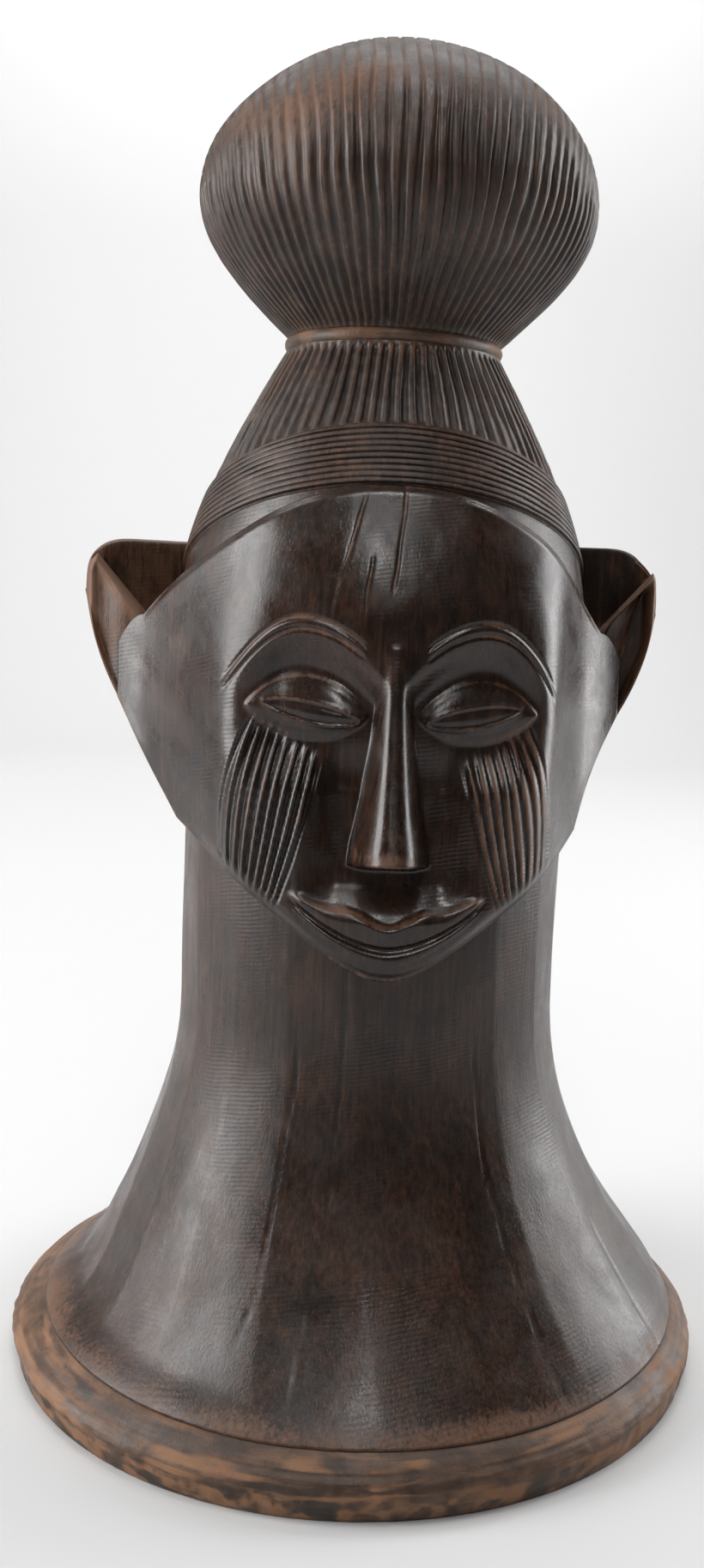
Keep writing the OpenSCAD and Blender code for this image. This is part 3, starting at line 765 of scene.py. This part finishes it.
def skin(x, h):
    """How far the carved face stands in front of the axis, and its marks: wear, darkening in the
    grooves, eye slits and mouth line, and painted shade in the eye sockets and cheek hollows.
    """
    a = np.abs(x)
    plain = mask(x, h)
    side = np.where(x < 0, 1.0, 0.45)
    brow = brow_line(a)
    under = ease(-1.0, 10.0, brow - 3.6 - h)
    socket = under * ease(50, 66, h) * (1 - ease(30, 46, a))
    hollow = (1 - ease(13, 25, a)) * (1 - ease(52, 66, h)) * ease(17, 27, h)
    depth = plain - 5.6 * socket - 5.8 * hollow
    brow_reach = ease(7.5, 10, a) * (1 - ease(43, 47, a))
    line_up = bell(h - brow, 0.55) * brow_reach
    line_low = bell(h - brow + BROW_GAP, 0.6) * brow_reach
    depth = depth - 0.75 * line_up - 0.8 * line_low
    depth = depth + 0.5 * bell(h - brow + 1.7, 1.3) * brow_reach
    lid, rim, open_eye, ball, lash = eye_marks(a, h)
    depth = depth + 3.2 * lid + 0.55 * rim + 0.5 * lash - open_eye * (1.3 - 1.0 * ball)
    groove, field = scars(x, h)
    depth = depth - side * 1.3 * groove + 0.4 * field * side
    # mouth: a worn ledge over the upper lip, the line of the mouth, the lower lip
    t = np.clip(a / MOUTH_HALF, 0, 1)
    ledge = 16.4 + 4.0 * ease(0, 12, a) + 3.8 * ease(14, 28, a)
    line = 10.0 + 12.3 * t**1.75
    lower = 6.3 + 15.2 * t**1.7
    full = 1 - ease(0.86, 1.02, a / MOUTH_HALF)
    upper_lip = ease(line - 0.3, line + 1.6, h) * (1 - ease(ledge - 1.0, ledge + 1.4, h))
    lower_lip = ease(lower - 1.3, lower + 1.0, h) * (1 - ease(line - 1.4, line + 0.2, h))
    muzzle = (1 - ease(16, 34, a)) * (1 - ease(20, 32, h))
    depth = depth + 1.2 * muzzle + full * (2.2 * upper_lip * (0.35 + 0.65 * ease(line, ledge, h)))
    depth = depth + full * 0.7 * lower_lip
    depth = depth - full * 0.8 * bell(h - line, 1.0) - full * 0.15 * bell(h - lower + 1.2, 1.4)
    # rounding of the jaw's edge and of the edge at the hairline
    above_jaw = h - jaw(x)
    depth = depth - 2.6 * (1 - ease(0, 6.0, above_jaw)) ** 2 * (1 - ease(40, 58, a))
    below_hair = hairline(x) - h
    depth = depth - 1.6 * (1 - ease(0, 3.0, below_hair)) ** 2 * (1 - ease(60, 70, a))
    # nose: a ridge with steep flanks, from the brow to its cut-off tip
    up = np.clip((h - NOSE_TIP_UP) / (BROW_UP - NOSE_TIP_UP), -0.2, 1.4)
    tip, root = NECK_R + NOSE_TIP_OUT, mask(0 * h, BROW_UP) - 0.2
    ridge = tip + (root - tip) * up - 1.8 * np.sin(math.pi * np.clip(up, 0, 1)) * 0.6
    wing = 4.8 + 5.5 * (1 - np.clip(up, 0, 1)) ** 1.8
    fall = (15.5 - 6.0 * np.clip(up, 0, 1)) * (a / wing) ** 2.7
    nose = ridge - fall
    nose = nose - 5.5 * np.clip(34.2 - 0.02 * a * a - h, 0, None)
    nose = nose - 1.5 * ease(4, 0, h - NOSE_TIP_UP) * ease(0, 1, a / 11)
    nose = nose - 0.9 * np.clip(h - BROW_UP, 0, None)
    blend = 1.8
    is_nose = ease(-0.5, 1.5, nose - depth)
    depth = np.maximum(depth, nose) + 0.5 * blend * np.exp(-np.abs(depth - nose) / blend)
    wobble = 0.5 * lumps(x, h, 3.0, (24, 26, 1), 95) + 0.16 * lumps(x, h, 7.0, (7, 9, 1), 96)
    wobble = wobble + 0.035 * lumps(x, h, 5.0, (2.2, 3.4, 1), 94)
    depth = depth + wobble * ease(0, 6, above_jaw)
    cracks = np.zeros_like(depth)
    for low, high, at, lean, width in FOREHEAD_CRACKS:
        centre = at + lean * (h - low) + 0.5 * lumps(h, at, 0.0, 7.0, 97)
        ends = ease(low, low + 5, h) * (1 - ease(high - 4, high, h))
        cracks = np.maximum(cracks, bell(x - centre, width) * ends)
    depth = depth - 0.3 * cracks
    edge_wear = (1 - ease(0, 2.5, above_jaw)) * 0.35 + 0.25 * (1 - ease(0, 1.6, below_hair))
    rub = 0.02 + 0.55 * line_up + 0.55 * line_low + 0.45 * rim + 0.5 * lash * (1 - is_nose)
    rub = rub + np.where(x < 0, 0.36, 0.62) * field * (1 - groove) + 0.5 * cracks + edge_wear
    rub = rub + 0.5 * full * bell(h - ledge, 1.0) + 0.35 * full * bell(h - lower + 0.3, 0.7)
    rub = rub + 0.28 * is_nose * bell(h - 35.5, 3.0) + 0.15 * is_nose * (1 - ease(2, 5, a))
    rub = rub + 0.16 * lumps(x, h, 1.0, (7, 10, 1), 98) + 0.14 * lumps(x, h, 2.0, (2.4, 3.4, 1), 99)
    rub = rub + 0.08 * ease(50, 66, a)
    cut = 0.9 * groove * side + 0.55 * open_eye * (1 - 0.6 * ball) + 0.35 * full * bell(h - line, 0.9)
    # painted shade: the eye sockets under the brow, less on the lids, and the hollows beside the nose
    # are darkened as if in shadow
    cut = cut + 0.25 * hollow + 0.3 * socket * (1 - lid)
    return np.maximum(depth, FACE_BACK + 1.0), rub, cut


def face():
    """Face: a grid of its skin from jaw to hairline, walls straight back along Y,
    and a back that lies on the head's column and crown."""
    cols, rows = ((320, 262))
    across = np.linspace(-1, 1, cols)
    x = np.sign(across) * np.abs(across) ** 1.06 * CHEEK_W
    share = np.linspace(0, 1, rows)[:, None]
    h = jaw(x) + (hairline(x) - jaw(x)) * share
    x = x + 0 * h
    depth, rub, cut = skin(x, h)
    bed_rows = np.unique(np.linspace(0, rows - 1, 9).astype(int))
    z = CHIN_Z + h
    bed = np.sqrt(np.clip((crown_radius(z) - 0.3) ** 2 - x * x, 0, None))
    bed = np.maximum(FACE_BACK, bed)
    x = x + EAR_SHIFT * ease(40, 66, np.abs(x)) * ease(18, 62, h)
    front = np.stack([x, -depth, z], -1).reshape(-1, 3)
    back = np.stack([x, -bed, z], -1)[bed_rows].reshape(-1, 3)
    sides = np.stack([x, -bed, z], -1)[:, [0, -1]].reshape(-1, 3)
    n, m = len(front), len(back)
    grid = np.arange(n).reshape(rows, cols)
    bed_grid = n + np.arange(m).reshape(len(bed_rows), cols)
    side_grid = n + m + np.arange(2 * rows).reshape(rows, 2)
    bed_grid[:, 0], bed_grid[:, -1] = side_grid[bed_rows, 0], side_grid[bed_rows, 1]

    def strip(p, q):
        """Squares between two lines of points of the same length."""
        return np.stack([p[:-1], p[1:], q[1:], q[:-1]], -1)

    faces = [quads_of(rows, cols)]
    b = bed_grid
    faces.append(np.stack([b[:-1, 1:-2], b[1:, 1:-2], b[1:, 2:-1], b[:-1, 2:-1]], -1).reshape(-1, 4))
    for k in range(len(bed_rows) - 1):
        low, high = bed_rows[k], bed_rows[k + 1]
        left = [b[k, 1], *side_grid[low : high + 1, 0], b[k + 1, 1]]
        right = [b[k + 1, -2], *side_grid[low : high + 1, 1][::-1], b[k, -2]]
        faces += [np.array([left]), np.array([right])]
    faces.append(strip(grid[0], bed_grid[0])[:, ::-1])
    faces.append(strip(grid[-1], bed_grid[-1]))
    faces.append(strip(grid[:, 0], side_grid[:, 0]))
    faces.append(strip(grid[:, -1], side_grid[:, 1])[:, ::-1])
    points = np.vstack([front, back, sides])
    plain = np.zeros(m + 2 * rows)
    marks = {"rub": np.concatenate([rub.ravel(), plain]), "cut": np.concatenate([cut.ravel(), plain])}
    return carve("face_carved", points, faces, ["face"], face_finish, marks)


# ------------------------------------------------------------------------ ears
# The head's left ear (1) is thin and deeply hollowed. Its right ear (-1) has a broad
# worn rim. lift raises the top edge in the middle, roll is the rim's rounding, sweep
# turns the front back, and hollow says from where to where the front's groove starts.
# cut darkens the front's groove; on the left ear (1) this is painted shade, the shadow in its deep
# groove
EAR_SHAPES = {
    1: dict(lift=1.8, wall=2.0, roll=1.6, sweep=0.0, hollow=(69, 75), deep=6.5,
            rim_wear=(0.35, 1.6), rub=0.26, cut=0.7),
    -1: dict(lift=-2.2, wall=6.5, roll=3.6, sweep=0.28, hollow=(74, 82), deep=1.8,
             rim_wear=(0.75, 5.5), rub=0.46, cut=0.0),
}


def ear(side, name, node):
    """Ear: closed profiles in planes across X, from the head out to the tip. Each
    runs up the front, over a slanting rim, down into a pocket, up to the higher
    back edge and down the back. A shallow groove hollows the front. The lower
    edge is a line that steepens with the third power towards the tip, and the
    top edge is a rounded corner."""
    shape = EAR_SHAPES[side]
    cols = 120
    share = np.linspace(0, 1, cols)
    x = EAR_ROOT_X + (EAR_TIP_X - EAR_ROOT_X) * (1 - (1 - share) ** 2.0)
    steep = np.clip((x - 76.0) / (EAR_TIP_X - 76.0), 0, 1)
    bottom = JAW_RISE + (x - JAW_W) * JAW_SLOPE + 10.5 * steep**3
    bottom = np.where(x < JAW_W, JAW_RISE - 2.0 * ease(0, 6, JAW_W - x), bottom)
    corner = np.clip((x - 72.5) / (EAR_TIP_X - 72.5), 0, 1)
    power, lift = 3.0, shape["lift"]
    back_top = EAR_TOP_H + lift - (17.5 + lift) * (1 - (1 - corner**power) ** (1 / power))
    rim_top = np.clip(93.0 + (x - 66.0) * 1.12, 88.0, None)
    rim_top = np.minimum(rim_top, back_top - 2.2 * ease(0.0, 2.5, EAR_TIP_X - x) - 0.05)
    rim_top = np.maximum(rim_top, bottom + 0.4)
    back_top = np.maximum(back_top, rim_top + 0.05)
    bottom, rim_top, back_top = (CHIN_Z + v[:, None] for v in (bottom, rim_top, back_top))
    xs = x[:, None]
    thin = np.sqrt(np.clip(1 - ease(EAR_TIP_X - 4.5, EAR_TIP_X, xs) ** 2, 0.01, 1))
    front_y = -FACE_BACK - 0.8 + 4.0 * (1 - thin) + shape["sweep"] * np.clip(xs - 70, 0, None)
    back_y = -FACE_BACK - 0.8 + 30.0 - 15.0 * np.clip((xs - 58) / 30, 0, 1)
    back_y = front_y + (back_y - front_y) * thin
    wall = shape["wall"] * thin
    round_over = np.minimum(shape["roll"], 0.45 * (rim_top - bottom))
    pocket = np.clip((rim_top - bottom) * 0.5, 0, 26) * ease(EAR_TIP_X - 3, EAR_TIP_X - 12, xs)
    up = np.linspace(0, 1, 60)[None, :]
    turn = np.linspace(0, math.pi, 9)[None, 1:-1]
    fz = bottom + (rim_top - round_over - bottom) * up
    inset = np.minimum(fz - bottom, (rim_top - fz) * 0.8)
    edge = ease(0.8, 4.5, inset) * (1 - ease(EAR_TIP_X - 4.0, EAR_TIP_X - 0.8, xs))
    groove = edge * ease(*shape["hollow"], xs) * ease(CHIN_Z + 60, CHIN_Z + 74, fz)
    fy = front_y + shape["deep"] * groove * ease(1, 7, back_y - front_y)
    fy = fy + 0.3 * lumps(xs, fz, 0.0, (9, 12, 1), 101 + side) * thin
    ry = front_y + wall * (1 - np.cos(turn)) / 2
    rz = rim_top - round_over + round_over * np.sin(turn)
    down = np.linspace(0, 1, 22)[None, :]
    room = np.maximum(back_y - front_y - 2 * wall, 0.3 * thin)
    floor_z = rim_top - round_over - pocket
    p1z = rim_top - round_over - pocket * down
    p1y = front_y + wall + 0.1 * room * np.sin(down * math.pi)
    floor = np.linspace(0, math.pi, 11)[None, 1:-1]
    p2y = front_y + wall + room * (1 - np.cos(floor)) / 2
    p2z = floor_z - np.minimum(4.0, pocket * 0.25) * np.sin(floor)
    top_round = np.minimum(1.4, 0.5 * (back_top - floor_z))
    rise = np.linspace(0, 1, 30)[None, :]
    p3z = floor_z + (back_top - top_round - floor_z) * rise
    p3y = back_y - wall - 0.6 * np.sin(rise * math.pi) * thin
    by = back_y - wall * (1 + np.cos(turn)) / 2
    bz = back_top - top_round + top_round * np.sin(turn)
    fall = np.linspace(0, 1, 40)[None, :]
    kz = back_top - top_round + (bottom - back_top + top_round) * fall
    thick = np.clip((kz - bottom) / 45.0, 0.0, 1.0) ** 0.6
    low_y = front_y + np.minimum(5.0, 0.5 * (back_y - front_y))
    ky = low_y + (back_y - low_y) * thick
    ky = ky + 0.4 * lumps(xs, kz, 4.0, (11, 14, 1), 103 + side) * thin * thick
    low_turn = np.linspace(0, math.pi, 7)[None, 1:-1]
    ly = 0.5 * (front_y + low_y) + 0.5 * (low_y - front_y) * np.cos(low_turn)
    lz = bottom - 0.8 * np.sin(low_turn)
    ys = np.hstack([v + 0 * w for v, w in ((fy, fz), (ry, rz), (p1y, p1z), (p2y, p2z), (p3y, p3z),
                                           (by, bz), (ky, kz), (ly, lz))])
    zs = np.hstack([fz, rz, p1z, p2z, p3z, bz, kz, lz])
    wx = xs + 0 * ys
    points = np.stack([side * wx + EAR_SHIFT, ys, zs], -1)
    count = points.shape[1]
    n = cols * count
    hubs = np.array([points[0].mean(0), points[-1].mean(0) + [side * 0.3, 0, 0]])
    first, last = np.arange(count), np.arange(n - count, n)
    faces = [quads_of(cols, count, wrap_cols=True), fan(first, n, flip=True), fan(last, n + 1)]
    if side < 0:
        faces = [f[:, ::-1] for f in faces]
    blank = np.zeros((cols, count - fz.shape[1]))
    wear, wear_width = shape["rim_wear"]
    on_rim = bell(zs - (rim_top - 0.8), wear_width) * (ys < front_y + wall + 1.0)
    outer = bell(EAR_TIP_X - wx, 4.0) + bell(zs - bottom, 2.0)
    rub = shape["rub"] + wear * on_rim + 0.3 * outer
    rub = rub + 0.25 * lumps(wx, ys, zs, (9, 9, 14), 105)
    # painted shade: the pocket's back wall is darkened more the deeper it lies below the rim
    shaded_pocket_wall = (ys > front_y + wall + 0.5) & (ys < back_y - 0.5 * wall) & (zs > floor_z - 5)
    cut = np.where(shaded_pocket_wall, 0.12 * ease(0, 24, rim_top + 2 - zs), 0)
    # painted shade: the front's groove is darkened by the ear's cut share, on the left ear only
    cut = cut + np.hstack([groove * shape["cut"], blank])
    marks = {"rub": np.append(rub.ravel(), [0.2, 0.2]), "cut": np.append(cut.ravel(), [0, 0])}
    return carve(name, np.vstack([points.reshape(-1, 3), hubs]), faces, [node],
                 neck_finish, marks)


# ------------------------------------------------------- floor, light, camera
def stage_floor():
    """Pale floor that curves up behind into a backdrop: a flat square, a quarter
    circle and a wall, carried along X."""
    radius = 0.9
    turn = np.linspace(0, 0.5 * math.pi, 24)
    ys = np.concatenate([[-3.0], 1.6 + radius * np.sin(turn), [1.6 + radius]])
    zs = np.concatenate([[0.0], radius * (1 - np.cos(turn)), [4.0]])
    xs = np.array([-4.0, 4.0])
    points = np.stack(np.broadcast_arrays(xs[None, :], ys[:, None], zs[:, None]), -1).reshape(-1, 3)
    mesh = bpy.data.meshes.new("floor")
    mesh.from_pydata(points.tolist(), [], quads_of(len(ys), 2).tolist())
    for polygon in mesh.polygons:
        polygon.use_smooth = True
    floor = bpy.data.objects.new("floor", mesh)
    bpy.context.collection.objects.link(floor)
    material = bpy.data.materials.new("floor_paper")
    material.use_nodes = True
    shader = material.node_tree.nodes["Principled BSDF"]
    shader.inputs["Base Color"].default_value = (0.56, 0.56, 0.56, 1)
    shader.inputs["Roughness"].default_value = 0.9
    mesh.materials.append(material)
    return floor


def soft_light(name, place, aim, size, power, colour=(1, 1, 1)):
    """Rectangular studio light at a place, turned towards an aim."""
    light = bpy.data.lights.new(name, "AREA")
    light.shape = "RECTANGLE"
    light.size, light.size_y = size
    light.energy = power
    light.color = colour
    lamp = bpy.data.objects.new(name, light)
    way = np.array(aim) - np.array(place)
    lamp.rotation_mode = "QUATERNION"
    lamp.rotation_quaternion = Vector(way).to_track_quat("-Z", "Y")
    lamp.location = place
    bpy.context.collection.objects.link(lamp)
    return lamp


def studio_world(front, behind):
    """Surroundings of the studio: dim in front of the object and pale behind it,
    eased over the direction's Y. Seen directly they are pale all round."""
    world = bpy.data.worlds.new("studio")
    world.use_nodes = True
    tree = world.node_tree
    way = node_in(tree, "ShaderNodeTexCoord").outputs["Generated"]
    parts = node_in(tree, "ShaderNodeSeparateXYZ")
    tree.links.new(way, parts.inputs[0])
    strength = spread(tree, parts.outputs["Y"], -0.15, 0.55, front, behind)
    background = tree.nodes["Background"]
    background.inputs["Color"].default_value = (0.97, 0.98, 1.0, 1)
    seen = node_in(tree, "ShaderNodeLightPath").outputs["Is Camera Ray"]
    strength = math_node(tree, "MAXIMUM", strength, math_node(tree, "MULTIPLY", seen, 0.85))
    tree.links.new(strength, background.inputs["Strength"])
    bpy.context.scene.world = world


def camera():
    """Camera close in front of the head, a little to its right side, looking
    slightly down and rolled so that the carving leans in the frame."""
    distance, height = 0.464, 0.242
    azimuth = math.radians(-3.5)
    pitch, yaw, roll = math.radians(7.62), math.radians(1.38), math.radians(2.57)
    view = bpy.data.cameras.new("view")
    view.sensor_fit = "VERTICAL"
    view.sensor_height = 36.0
    view.lens = 34.128
    view.shift_x = -0.0378
    view.clip_start = 0.01
    eye = bpy.data.objects.new("view", view)
    turn = Matrix.Rotation(azimuth, 4, "Z")
    aim = Matrix.Rotation(-yaw, 4, "Z") @ Matrix.Rotation(0.5 * math.pi - pitch, 4, "X")
    aim = aim @ Matrix.Rotation(roll, 4, "Z")
    place = Matrix.Translation((0.0, -distance, height))
    eye.matrix_world = turn @ place @ aim
    bpy.context.collection.objects.link(eye)
    bpy.context.scene.camera = eye


# ------------------------------------------------------------------- the scene
foot_rim()
neck()
crown()
hairline_band()
tie_ring()
topknot()
face()
ear(-1, "right_ear_carved", "right_ear")
ear(1, "left_ear_carved", "left_ear")

stage_floor()
bpy.context.scene.view_settings.view_transform = "Standard"
studio_world(0.04, 0.95)
soft_light("backdrop_low", (0, 1.0, 2.2), (0, 2.5, 0.9), (2.5, 0.6), 72)
soft_light("window_left", (-1.3, -0.15, 0.6), (0, 0, 0.2), (0.8, 1.2), 26)
soft_light("window_right", (1.25, 0.4, 0.6), (0, 0, 0.2), (0.7, 1.3), 17)
soft_light("front_top", (-0.06, -0.9, 1.05), (0, 0, 0.05), (0.1, 0.5), 4)
soft_light("ceiling", (0, -0.28, 1.5), (0, 0, 0.3), (0.35, 0.35), 5)
camera()
